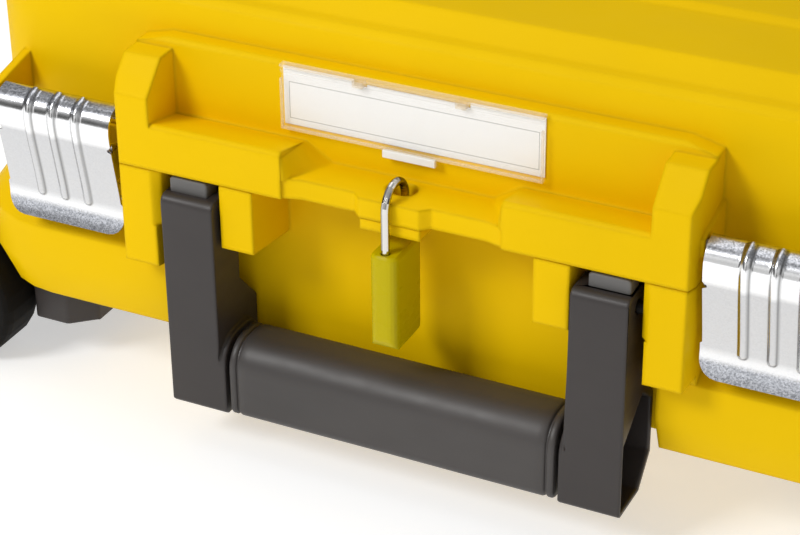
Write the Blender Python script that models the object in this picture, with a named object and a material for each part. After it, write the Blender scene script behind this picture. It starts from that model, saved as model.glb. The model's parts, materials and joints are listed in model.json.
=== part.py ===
"""Wheeled tool case with a lift-out tray: a shell, its lid, latches, carry handle, padlock and running gear.

Units are metres. +Z is up, the latched front faces -Y and the wheels are at the -X end. The origin is on
the floor, under the middle of the whole case.
"""

import math

import bmesh
import bpy
from mathutils import Matrix, Vector

# ---------------------------------------------------------------- driving dimensions
GAP = 0.0003  # running gap between neighbouring pieces

# Case outline
HALF_WIDTH = 0.260
CORNER_RADIUS = 0.052
FRAME_Y = -0.196  # front plane of the posts, bars and hasp
SKIRT_Y = -0.182  # front of the base, at its crease
WALL_Y = -0.160  # front wall of the lid, and back of the handle recess
REAR_Y = 0.190
BASE_BOTTOM = 0.051
CREASE_Z = 0.0725
RIM_Z = 0.1505  # parting plane of base and lid
SHOULDER_Z = 0.2270
LID_TOP = 0.2360
PAD_TOP = 0.2385
UPPER_HALF_WIDTH = 0.250

# Inside
CAVITY_HALF_WIDTH = 0.243
LEDGE_HALF_WIDTH = 0.234  # the lower cavity is narrower, and the tray stands on the ledge
CAVITY_FRONT, CAVITY_REAR = -0.152, 0.183
CAVITY_FLOOR, LEDGE_Z, CAVITY_ROOF = 0.058, 0.1040, 0.2215

# Front frame: posts, bars and pivot blocks
POST_IN, POST_OUT = 0.1235, 0.1465
POST_FRONT_OUT = 0.1445
POST_NARROW_IN, POST_NARROW_Z = 0.1258, 0.1205
LID_POST_IN = 0.1265
BLOCK_IN, BLOCK_OUT = 0.0720, 0.0895
BAR_IN = 0.0560
RECESS_HALF_WIDTH = 0.1280
PANEL_Y = -0.1700  # face that carries the label
PANEL_TOP = 0.2085
HASP_HALF_WIDTH = 0.0153
EYE_LEFT, EYE_RIGHT = -0.0085, 0.0070  # the eye is oval, longer along X
EYE_FRONT, EYE_REAR = -0.1860, -0.1735

# Carry handle
HANDLE_Y, HANDLE_Z = -0.1880, 0.1330  # its pivot axis
ARM_IN, ARM_OUT = 0.0915, 0.1197
ARM_FRONT, ARM_TOP, ARM_BOTTOM = -0.2010, 0.1415, 0.0240
GRIP_FRONT, GRIP_REAR, GRIP_TOP = -0.2012, -0.1655, 0.0660
CORE_Y, CORE_Z, CORE_RADIUS = -0.1830, 0.0450, 0.0100
FOOT_IN, GRIP_END = 0.0885, 0.0865
LUG_IN, LUG_OUT, LUG_TOP = 0.0975, 0.1180, 0.1485
PIVOT_PIN_RADIUS = 0.0030

# Latches
LATCH_IN, LATCH_OUT = 0.1490, 0.2164
LATCH_Y, LATCH_Z = -0.1845, 0.1702  # lever's barrel axis
BAIL_Y, BAIL_Z = -0.1780, 0.1470  # bail's pin axis
CATCH_Y, CATCH_Z = -0.1685, 0.1150  # middle of the bail's hooked bar
LIP_Z = 0.1056  # lever's lower edge

# Label window
LABEL_HALF_WIDTH = 0.0650
LABEL_BOTTOM, LABEL_TOP = 0.1775, 0.2045
WINDOW_HALF_WIDTH = 0.0665
WINDOW_Y, WINDOW_Z = -0.1730, 0.2062  # flap's hinge axis

# Padlock
LOCK_Y = -0.1890
LOCK_HALF_THICKNESS, LOCK_HALF_WIDTH = 0.0070, 0.0150
LOCK_BOTTOM, LOCK_TOP = 0.0860, 0.1370
SHACKLE_RADIUS, SHACKLE_ARC_RADIUS, SHACKLE_ARC_Z = 0.0020, 0.0105, 0.1582
PLUG_RADIUS = 0.0044

# Hinges
HINGE_Y, HINGE_Z = 0.2000, RIM_Z
KNUCKLE_RADIUS, HINGE_PIN_RADIUS = 0.0080, 0.0025
HINGE_X = 0.150

# Wheels and chassis
WHEEL_X, WHEEL_RADIUS, WHEEL_WIDTH = -0.2660, 0.0350, 0.0300
WHEEL_Z = WHEEL_RADIUS
WHEEL_FRONT_Y, WHEEL_REAR_Y = -0.1665, 0.1805
AXLE_RADIUS = 0.0040
CARRIER_IN = -0.1950
CARRIER_FRONT, CARRIER_REAR = -0.1495, 0.1635
CARRIER_BOTTOM = 0.0240
SKID_IN, SKID_OUT = 0.2080, 0.2580
SKID_FRONT, SKID_REAR = -0.1380, 0.1520
PAD_HEIGHT = 0.0040
ROD_Y_CENTRE, ROD_HALF_SPAN, ROD_Z = 0.0070, 0.0900, 0.0380
ROD_RADIUS, TUBE_RADIUS = 0.0060, 0.0080
PULL_GRIP_IN, PULL_GRIP_OUT = 0.2760, 0.3010

# Tray
TRAY_HALF_WIDTH, TRAY_FRONT, TRAY_REAR = 0.2400, -0.1490, 0.1800
TRAY_BOTTOM, TRAY_TOP, TRAY_WALL = 0.1043, 0.1440, 0.0025
TRAY_HANDLE_HALF_SPAN, TRAY_HANDLE_Z = 0.0560, 0.1485


# ---------------------------------------------------------------- helpers
def clear_scene():
    for obj in list(bpy.data.objects):
        bpy.data.objects.remove(obj, do_unlink=True)


def plastic(name, color, roughness=0.5, metallic=0.0, transmission=0.0):
    material = bpy.data.materials.new(name)
    material.use_nodes = True
    shader = material.node_tree.nodes["Principled BSDF"]
    shader.inputs["Base Color"].default_value = (*color, 1.0)
    shader.inputs["Roughness"].default_value = roughness
    shader.inputs["Metallic"].default_value = metallic
    shader.inputs["Transmission Weight"].default_value = transmission
    return material


def make_object(name, bm, material=None, smooth=False):
    """An object from a closed bmesh, with its faces turned outwards."""
    bmesh.ops.recalc_face_normals(bm, faces=bm.faces)
    mesh = bpy.data.meshes.new(name)
    bm.to_mesh(mesh)
    bm.free()
    if smooth:
        mesh.shade_smooth()
        mesh.set_sharp_from_angle(angle=math.radians(35))
    obj = bpy.data.objects.new(name, mesh)
    bpy.context.scene.collection.objects.link(obj)
    if material:
        mesh.materials.append(material)
    return obj


def loft(name, rings, material=None, smooth=False):
    """A closed skin over rings of equal length, capped at both ends."""
    bm = bmesh.new()
    rows = [[bm.verts.new(point) for point in ring] for ring in rings]
    count = len(rows[0])
    for low, high in zip(rows, rows[1:]):
        for i in range(count):
            j = (i + 1) % count
            bm.faces.new((low[i], low[j], high[j], high[i]))
    bm.faces.new(list(reversed(rows[0])))
    bm.faces.new(rows[-1])
    return make_object(name, bm, material, smooth)


def prism(name, outline, axis, low, high, material=None, smooth=False):
    """An outline pushed along an axis. The outline is in the other two axes, in alphabetical order."""
    place = {
        "X": lambda a, b, along: (along, a, b),
        "Y": lambda a, b, along: (a, along, b),
        "Z": lambda a, b, along: (a, b, along),
    }[axis]
    rings = [[place(a, b, along) for a, b in outline] for along in (low, high)]
    return loft(name, rings, material, smooth)


def box(name, x, y, z, material=None):
    outline = [(x[0], y[0]), (x[1], y[0]), (x[1], y[1]), (x[0], y[1])]
    return prism(name, outline, "Z", z[0], z[1], material)


def arc(centre, radius, start, end, steps):
    """Points along an arc, from start to end degrees, both included."""
    angles = [math.radians(start + (end - start) * i / steps) for i in range(steps + 1)]
    return [(centre[0] + radius * math.cos(a), centre[1] + radius * math.sin(a)) for a in angles]


def circle(centre, radius, count):
    return arc(centre, radius, 0, 360 * (count - 1) / count, count - 1)


def rod(name, axis, centre, radius, low, high, material=None, count=20):
    """A round bar along an axis, with its centre in the other two axes."""
    return prism(name, circle(centre, radius, count), axis, low, high, material, smooth=True)


def rounded_ring(half_width, front, rear, radius, z, steps=6):
    """A rectangle with round corners, seen from above, at one height."""
    corners = (
        ((half_width - radius, front + radius), 270, 360),
        ((half_width - radius, rear - radius), 0, 90),
        ((radius - half_width, rear - radius), 90, 180),
        ((radius - half_width, front + radius), 180, 270),
    )
    points = []
    for centre, start, end in corners:
        points += arc(centre, radius, start, end, steps)
    return [(x, y, z) for x, y in points]


def combine(target, operation, *tools):
    for tool in tools:
        modifier = target.modifiers.new(tool.name, "BOOLEAN")
        modifier.operation = operation
        modifier.solver = "EXACT"
        modifier.object = tool
        tool.hide_render = True
        tool.display_type = "WIRE"
    return target


def add(target, *tools):
    return combine(target, "UNION", *tools)


def cut(target, *tools):
    return combine(target, "DIFFERENCE", *tools)


def put_origin(obj, x, y, z):
    """Moves an object's origin to a point, and leaves its shape where it is."""
    obj.data.transform(Matrix.Translation((-x, -y, -z)))
    obj.location = (x, y, z)


def hang_on(name, point, *pieces):
    """An empty on a joint's axis, with the pieces that turn about it as its children."""
    empty = bpy.data.objects.new(name, None)
    empty.location = point
    bpy.context.scene.collection.objects.link(empty)
    for piece in pieces:
        piece.parent = empty
        piece.matrix_parent_inverse = Matrix.Translation(-Vector(point))
    return empty


def sides():
    """Left and right, each with its sign along X."""
    return (("left", -1), ("right", 1))


def span(sign, low, high):
    """A stretch of X on one side of the middle, in rising order."""
    return (low, high) if sign > 0 else (-high, -low)


# ---------------------------------------------------------------- base
def base_outline():
    return [
        rounded_ring(HALF_WIDTH - 0.006, SKIRT_Y + 0.008, REAR_Y + 0.001, CORNER_RADIUS - 0.005, BASE_BOTTOM),
        rounded_ring(HALF_WIDTH, SKIRT_Y, REAR_Y + 0.006, CORNER_RADIUS, CREASE_Z),
        rounded_ring(HALF_WIDTH - 0.001, SKIRT_Y + 0.001, REAR_Y + 0.005, CORNER_RADIUS, 0.0940),
        rounded_ring(UPPER_HALF_WIDTH + 0.002, WALL_Y - 0.004, REAR_Y + 0.001, 0.045, 0.1070),
        rounded_ring(UPPER_HALF_WIDTH, WALL_Y - 0.002, REAR_Y, 0.044, RIM_Z - GAP),
    ]


def eye_outline():
    radius = (EYE_REAR - EYE_FRONT) / 2
    middle = (EYE_REAR + EYE_FRONT) / 2
    right = arc((EYE_RIGHT - radius, middle), radius, -90, 90, 10)
    left = arc((EYE_LEFT + radius, middle), radius, 90, 270, 10)
    return right + left


def sloped_block(name, x, top, front_bottom, rear_bottom, front=FRAME_Y):
    """A block proud of the front wall, with its underside running down towards the wall."""
    back = WALL_Y + 0.002
    outline = [(front, front_bottom), (back, rear_bottom), (back, top), (front, top)]
    return prism(name, outline, "X", x[0], x[1])


def slant_post(post, side, sign):
    """Takes the outer front edge of a post off at a slant."""
    far = POST_OUT + 0.002
    outline = [(sign * POST_FRONT_OUT, FRAME_Y), (sign * (POST_FRONT_OUT - 0.0005), FRAME_Y - 0.0015),
               (sign * far, FRAME_Y - 0.0015), (sign * far, FRAME_Y + 0.0120)]
    cut(post, prism(f"cut_slant_{side}_{post.name}", outline, "Z", 0.080, 0.210))


def knuckle(name, x, toward_z, wall_y):
    """A hinge knuckle with the web that ties it to its shell, on one side of the parting plane."""
    lean = KNUCKLE_RADIUS * 0.7
    sign = 1 if toward_z > HINGE_Z else -1
    ring = circle((HINGE_Y, HINGE_Z), KNUCKLE_RADIUS, 20)
    barrel = prism(name + "_barrel", ring, "X", x[0], x[1])
    web = [
        (wall_y - 0.0007, HINGE_Z + sign * 0.0012),
        (HINGE_Y, HINGE_Z + sign * 0.0012),
        (HINGE_Y + lean, HINGE_Z + sign * lean),
        (wall_y - 0.0007, toward_z),
    ]
    return barrel, prism(name + "_web", web, "X", x[0], x[1])


def build_base(yellow):
    base = loft("base_shell", base_outline(), yellow)
    cavity_ends = ((CAVITY_FLOOR, LEDGE_HALF_WIDTH), (LEDGE_Z, LEDGE_HALF_WIDTH))
    lower = loft(
        "cut_lower_cavity",
        [rounded_ring(half, CAVITY_FRONT, CAVITY_REAR, 0.030, z) for z, half in cavity_ends],
    )
    upper = loft(
        "cut_upper_cavity",
        [
            rounded_ring(CAVITY_HALF_WIDTH, CAVITY_FRONT, CAVITY_REAR, 0.036, z)
            for z in (LEDGE_Z - 0.0001, RIM_Z + 0.01)
        ],
    )
    cut(base, lower, upper)
    recess = box(
        "cut_handle_recess",
        (-RECESS_HALF_WIDTH, RECESS_HALF_WIDTH),
        (SKIRT_Y - 0.02, WALL_Y),
        (BASE_BOTTOM - 0.01, RIM_Z + 0.01),
    )
    cut(base, recess)
    top = RIM_Z - GAP
    for side, sign in sides():
        block = sloped_block("add_block_" + side, span(sign, BLOCK_IN, BLOCK_OUT), top, 0.1170, 0.1125)
        post = sloped_block("add_post_" + side, span(sign, POST_IN, POST_OUT), top, 0.0980, 0.0900)
        trim = prism(
            "cut_post_corner_" + side,
            [(sign * (POST_OUT - 0.0090), 0.0860), (sign * (POST_OUT + 0.002), 0.0860),
             (sign * (POST_OUT + 0.002), 0.1040)],
            "Y", FRAME_Y - 0.002, SKIRT_Y - GAP,
        )
        soft_edge = prism(
            "cut_post_inner_edge_" + side,
            [(sign * (POST_IN - 0.001), FRAME_Y - 0.001), (sign * (POST_IN + 0.0040), FRAME_Y - 0.001),
             (sign * (POST_IN + 0.0040), FRAME_Y), (sign * POST_IN, FRAME_Y + 0.0035),
             (sign * (POST_IN - 0.001), FRAME_Y + 0.0035)],
            "Z", POST_NARROW_Z, RIM_Z,
        )
        step = box("cut_post_step_" + side, span(sign, POST_IN - 0.001, POST_NARROW_IN),
                   (FRAME_Y - 0.001, SKIRT_Y - GAP), (0.0800, POST_NARROW_Z))
        cut(post, trim, soft_edge, step)
        slant_post(post, side, sign)
        ear = sloped_block("add_catch_" + side, span(sign, LATCH_IN + 0.010, LATCH_OUT - 0.010),
                           CATCH_Z + 0.0095, CATCH_Z + 0.0026, CATCH_Z + 0.0026, CATCH_Y - 0.0030)
        add(base, block, post, ear)
        hook_room = rod("cut_hook_room_" + side, "X", (CATCH_Y, CATCH_Z - 0.0040), 0.0050,
                        *span(sign, LATCH_IN + 0.002, LATCH_OUT - 0.002), count=16)
        cut(base, hook_room)
        pin_bore = rod("cut_pivot_bore_" + side, "X", (HANDLE_Y, HANDLE_Z), PIVOT_PIN_RADIUS + GAP,
                       *span(sign, BLOCK_IN + 0.004, POST_OUT - 0.006), count=20)
        cut(base, pin_bore)
    hasp = box(
        "add_hasp",
        (-HASP_HALF_WIDTH, HASP_HALF_WIDTH),
        (FRAME_Y + 0.001, WALL_Y + 0.002),
        (RIM_Z - 0.0060, top),
    )
    eye = prism("cut_eye", eye_outline(), "Z", RIM_Z - 0.02, RIM_Z + 0.02)
    add(base, hasp)
    cut(base, eye)
    for side, sign in sides():
        for part, low, high in (("inner", -0.030, -0.0105), ("outer", 0.0105, 0.030)):
            x = (sign * HINGE_X + low, sign * HINGE_X + high)
            barrel, web = knuckle(f"add_knuckle_{side}_{part}", x, HINGE_Z - 0.022, REAR_Y)
            add(base, barrel, web)
        relief = rod("cut_knuckle_room_" + side, "X", (HINGE_Y, HINGE_Z), KNUCKLE_RADIUS + 0.0008,
                     sign * HINGE_X - 0.0105, sign * HINGE_X + 0.0105)
        bore = rod("cut_hinge_bore_" + side, "X", (HINGE_Y, HINGE_Z), HINGE_PIN_RADIUS + GAP,
                   sign * HINGE_X - 0.0275, sign * HINGE_X + 0.0275, count=16)
        cut(base, relief, bore)
    for name, y in (("front", WHEEL_FRONT_Y), ("rear", WHEEL_REAR_Y)):
        reach = WHEEL_WIDTH / 2 + 0.0035
        well = rod(f"cut_wheel_well_{name}", "Y", (WHEEL_X, WHEEL_Z), WHEEL_RADIUS + 0.0035,
                   y - reach if name == "rear" else y - 0.03, y + reach if name == "front" else y + 0.03,
                   count=40)
        cut(base, well)
    return base


# ---------------------------------------------------------------- lid
def lid_outline():
    steps = (
        (0.000, RIM_Z + GAP, 0.044),
        (0.000, SHOULDER_Z - 0.010, 0.044),
        (0.0015, SHOULDER_Z - 0.0040, 0.043),
        (0.0050, SHOULDER_Z - 0.0008, 0.040),
        (0.0100, SHOULDER_Z, 0.036),
        (0.0196, LID_TOP, 0.028),
    )
    return [
        rounded_ring(UPPER_HALF_WIDTH - inset, WALL_Y + inset, REAR_Y - inset, radius, z)
        for inset, z, radius in steps
    ]


def build_lid(yellow):
    lid = loft("lid_shell", lid_outline(), yellow)
    cavity = loft(
        "cut_lid_cavity",
        [
            rounded_ring(CAVITY_HALF_WIDTH, CAVITY_FRONT, CAVITY_REAR, 0.036, z)
            for z in (RIM_Z - 0.01, CAVITY_ROOF)
        ],
    )
    pad = loft(
        "add_top_pad",
        [
            rounded_ring(0.190, -0.094, 0.126, 0.030, LID_TOP - 0.001),
            rounded_ring(0.190, -0.094, 0.126, 0.030, LID_TOP),
            rounded_ring(0.186, -0.090, 0.122, 0.026, PAD_TOP),
        ],
    )
    add(lid, pad)
    cut(lid, cavity)
    bottom, back = RIM_Z + GAP, WALL_Y + 0.003
    panel = prism(
        "add_label_panel",
        [(PANEL_Y, bottom), (back, bottom), (back, PANEL_TOP), (PANEL_Y + 0.002, PANEL_TOP),
         (PANEL_Y, PANEL_TOP - 0.002)],
        "X", -POST_OUT, POST_OUT,
    )
    for side, sign in sides():
        corner = [(sign * (POST_OUT - 0.0200), PANEL_TOP + 0.0010), (sign * (POST_OUT + 0.001), PANEL_TOP + 0.0010),
                  (sign * (POST_OUT + 0.001), 0.2045)]
        cut(panel, prism("cut_panel_corner_" + side, corner, "Y", PANEL_Y - 0.001, back + 0.001))
    ear_back = WALL_Y + 0.0055
    ear_profile = [(ear_back, LATCH_Z - 0.010), (LATCH_Y - 0.0040, LATCH_Z - 0.0050),
                   (LATCH_Y - 0.0040, LATCH_Z + 0.0035), (ear_back, LATCH_Z + 0.0110)]
    for side, sign in sides():
        post = prism(
            "add_lid_post_" + side,
            [(FRAME_Y, bottom), (back, bottom), (back, 0.2040), (-0.1815, 0.2035), (FRAME_Y, 0.1880)],
            "X", *span(sign, LID_POST_IN, POST_OUT),
        )
        slant_post(post, side, sign)
        bar_profile = [(FRAME_Y, bottom), (PANEL_Y + 0.003, bottom), (PANEL_Y + 0.003, 0.1690),
                       (FRAME_Y + 0.002, 0.1747), (FRAME_Y, 0.1730)]
        bar = prism("add_bar_" + side, bar_profile, "X", *span(sign, BAR_IN, LID_POST_IN + 0.0070))
        ear = prism(
            "add_latch_ear_" + side,
            ear_profile, "X", *span(sign, LATCH_OUT + 0.0008, LATCH_OUT + 0.0056),
        )
        boss = prism("add_latch_boss_" + side, ear_profile, "X", *span(sign, POST_OUT - 0.002, LATCH_IN - 0.0006))
        add(lid, post, bar, ear, boss)
        bore = rod("cut_latch_bore_" + side, "X", (LATCH_Y, LATCH_Z), 0.0020 + GAP,
                   *span(sign, POST_OUT - 0.004, LATCH_OUT + 0.0042), count=16)
        cut(lid, bore)
    shelf_half = [(HASP_HALF_WIDTH, FRAME_Y), (HASP_HALF_WIDTH + 0.0042, FRAME_Y + 0.004),
                  (0.0470, FRAME_Y + 0.0040), (BAR_IN + 0.0010, FRAME_Y + 0.0012),
                  (BAR_IN + 0.0040, FRAME_Y + 0.0012), (BAR_IN + 0.0040, PANEL_Y + 0.003)]
    shelf = prism(
        "add_shelf", shelf_half + [(-x, y) for x, y in reversed(shelf_half)], "Z", bottom, 0.1610,
    )
    add(lid, shelf)
    add(lid, panel)
    for side, sign in sides():
        end, shelf_top, front, rear = BAR_IN - 0.0005, 0.1605, FRAME_Y + 0.0006, PANEL_Y + 0.002
        sections = []
        for i in range(7):
            part = i / 6
            y, run, top = front + (rear - front) * part, 0.0010 + 0.0150 * part, 0.1722 - 0.0027 * part
            section = ((end + 0.0030, shelf_top), (end + 0.0030, top), (end, top), (end - run, shelf_top))
            sections.append([(sign * x, y, z) for x, z in section])
        add(lid, loft("add_ramp_" + side, sections))
    eye = prism("cut_lid_eye", eye_outline(), "Z", RIM_Z - 0.02, RIM_Z + 0.03)
    cut(lid, eye)
    groove = [
        prism_ring("cut_seal_groove", 0.2445, 0.2490, 0.1535, 0.1580, RIM_Z - 0.002, RIM_Z + 0.0030),
    ]
    cut(lid, *groove)
    for side, sign in sides():
        barrel, web = knuckle("add_lid_knuckle_" + side, (sign * HINGE_X - 0.0100, sign * HINGE_X + 0.0100),
                              HINGE_Z + 0.022, REAR_Y)
        add(lid, barrel, web)
        room = [
            rod(f"cut_lid_knuckle_room_{side}_{part}", "X", (HINGE_Y, HINGE_Z), KNUCKLE_RADIUS + 0.0008,
                sign * HINGE_X + low, sign * HINGE_X + high)
            for part, low, high in (("inner", -0.0305, -0.0100), ("outer", 0.0100, 0.0305))
        ]
        bore = rod("cut_lid_hinge_bore_" + side, "X", (HINGE_Y, HINGE_Z), HINGE_PIN_RADIUS + GAP,
                   sign * HINGE_X - 0.0120, sign * HINGE_X + 0.0120, count=16)
        cut(lid, *room, bore)
    return lid


def ring_solid(name, inner, outer, low, high, material=None, smooth=False):
    """A closed band between two outlines seen from above, each (half_width, front, rear, radius)."""
    bm = bmesh.new()
    loops = []
    for outline, z in ((inner, low), (outer, low), (outer, high), (inner, high)):
        loops.append([bm.verts.new(point) for point in rounded_ring(*outline, z)])
    count = len(loops[0])
    for k in range(4):
        near, far = loops[k], loops[(k + 1) % 4]
        for i in range(count):
            j = (i + 1) % count
            bm.faces.new((near[i], near[j], far[j], far[i]))
    return make_object(name, bm, material, smooth)


def prism_ring(name, inner_half, outer_half, inner_front, outer_front, low, high, material=None, smooth=False):
    """A band that follows the rim, between two distances from the middle."""
    inner_radius = 0.0375
    grow = outer_half - inner_half
    rear_in = CAVITY_REAR + (inner_half - CAVITY_HALF_WIDTH)
    inner = (inner_half, -inner_front, rear_in, inner_radius)
    outer = (outer_half, -outer_front, rear_in + grow, inner_radius + grow)
    return ring_solid(name, inner, outer, low, high, material, smooth)


# ---------------------------------------------------------------- hinge, seal
def build_hinge_pins(steel):
    return [
        rod("hinge_pin_" + side, "X", (HINGE_Y, HINGE_Z), HINGE_PIN_RADIUS,
            sign * HINGE_X - 0.0270, sign * HINGE_X + 0.0270, steel, count=20)
        for side, sign in sides()
    ]


def build_seal(rubber):
    return prism_ring("lid_seal", 0.2448, 0.2487, 0.1538, 0.1577, RIM_Z - GAP + 0.0002 + GAP, RIM_Z + 0.0027,
                      rubber)


# ---------------------------------------------------------------- latches
def lever_profile():
    """Side view of the pressed steel lever: a rolled barrel, a bowed face and a lip that flares out."""
    outer, inner = 0.0045, 0.0028
    roll_out = arc((LATCH_Y, LATCH_Z), outer, 118, -60, 12)
    roll_in = arc((LATCH_Y, LATCH_Z), inner, -60, 118, 10)
    face_out = [(-0.1900, 0.1733), (-0.1928, 0.1708), (-0.1946, 0.1670), (-0.1949, 0.1630), (-0.1936, 0.1520),
                (-0.1915, 0.1400), (-0.1896, 0.1290), (-0.1884, 0.1205), (-0.1886, 0.1150), (-0.1905, LIP_Z)]
    face_in = [(-0.1893, 0.1714), (-0.1912, 0.1696), (-0.1929, 0.1665), (-0.1933, 0.1628), (-0.1920, 0.1518),
               (-0.1899, 0.1398), (-0.1880, 0.1288), (-0.1868, 0.1206), (-0.1870, 0.1148), (-0.1889, LIP_Z)]
    return face_out[::-1] + roll_out + roll_in + face_in


def build_latch(side, sign, zinc, steel):
    x = span(sign, LATCH_IN, LATCH_OUT)
    lever = prism(f"latch_{side}_lever", lever_profile(), "X", *x, zinc, smooth=True)
    flange = [(-0.1935, 0.1590), (-0.1918, 0.1455), (-0.1903, 0.1370), (-0.1765, 0.1425), (-0.1745, 0.1480),
              (-0.1765, 0.1525)]
    for end, low, high in (("a", x[0], x[0] + 0.0014), ("b", x[1] - 0.0014, x[1])):
        add(lever, prism(f"add_flange_{side}_{end}", flange, "X", low, high))
    bore = rod(f"cut_bail_bore_{side}", "X", (BAIL_Y, BAIL_Z), 0.0015 + GAP, x[0] - 0.002, x[1] + 0.002, count=16)
    corners = []
    for end, edge, inward in (("a", x[0], 1), ("b", x[1], -1)):
        radius = 0.0090
        centre = (edge + inward * radius, LIP_Z + radius)
        turn = (180, 270) if inward > 0 else (360, 270)
        rim = arc(centre, radius, turn[0], turn[1], 6)
        outside = [(edge - inward * 0.001, LIP_Z - 0.001)]
        low_end = [(centre[0], LIP_Z - 0.001)]
        high_end = [(edge - inward * 0.001, centre[1])]
        corners.append(prism(f"cut_corner_{side}_{end}", rim + low_end + outside + high_end, "Y", -0.20, -0.1830))
    cut(lever, bore, *corners)
    pin = rod(f"latch_{side}_pin", "X", (LATCH_Y, LATCH_Z), 0.0020,
              *span(sign, POST_OUT - 0.0035, LATCH_OUT + 0.0040), steel, count=16)
    bail_pin = rod(f"latch_{side}_bail_pin", "X", (BAIL_Y, BAIL_Z), 0.0015, x[0] + 0.0001, x[1] - 0.0001,
                   steel, count=16)
    bail = rod(f"latch_{side}_bail", "X", (CATCH_Y, CATCH_Z), 0.0018, x[0] + 0.0042, x[1] - 0.0042, steel, count=16)
    for end, low, high in (("a", x[0] + 0.0030, x[0] + 0.0060), ("b", x[1] - 0.0060, x[1] - 0.0030)):
        lean = math.degrees(math.atan2(BAIL_Z - CATCH_Z, BAIL_Y - CATCH_Y))
        link = arc((BAIL_Y, BAIL_Z), 0.0034, lean - 90, lean + 90, 8)
        link += arc((CATCH_Y, CATCH_Z), 0.0024, lean + 90, lean + 270, 8)
        add(bail, prism(f"add_bail_link_{side}_{end}", link, "X", low, high))
    bail_bore = rod(f"cut_bail_eye_{side}", "X", (BAIL_Y, BAIL_Z), 0.0015 + GAP, x[0], x[1], count=16)
    cut(bail, bail_bore)
    hang_on(f"latch_{side}_axis", (0, LATCH_Y, LATCH_Z), lever, bail_pin)
    hang_on(f"latch_{side}_bail_axis", (0, BAIL_Y, BAIL_Z), bail)
    return lever, pin, bail_pin, bail


# ---------------------------------------------------------------- carry handle
def arm_profile():
    """Side view of an arm: square-shouldered at the pivot, and deep at the foot."""
    rear_narrow, rear_wide, round_off = HANDLE_Y + 0.0115, -0.1610, 0.0045
    front_corner = arc((ARM_FRONT + round_off, ARM_TOP - round_off), round_off, 180, 90, 4)
    rear_corner = arc((rear_narrow - round_off, ARM_TOP - round_off), round_off, 90, 0, 4)
    return [
        (ARM_FRONT, ARM_BOTTOM + 0.002),
        *front_corner,
        *rear_corner,
        (rear_narrow, 0.0900),
        (rear_wide, 0.0730),
        (rear_wide, 0.0400),
        (-0.1760, ARM_BOTTOM),
        (ARM_FRONT + 0.002, ARM_BOTTOM),
    ]


def grip_section(inset):
    """The grip in side view: wide rounds on top and small ones below."""
    front, rear = GRIP_FRONT + inset, GRIP_REAR - inset
    top, bottom = GRIP_TOP - inset, ARM_BOTTOM + inset
    big, small = 0.0150 - inset, 0.0060 - inset / 2
    return (
        arc((rear - big, top - big), big, 0, 90, 6)
        + arc((front + big, top - big), big, 90, 180, 6)
        + arc((front + small, bottom + small), small, 180, 270, 4)
        + arc((rear - small, bottom + small), small, 270, 360, 4)
    )


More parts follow.
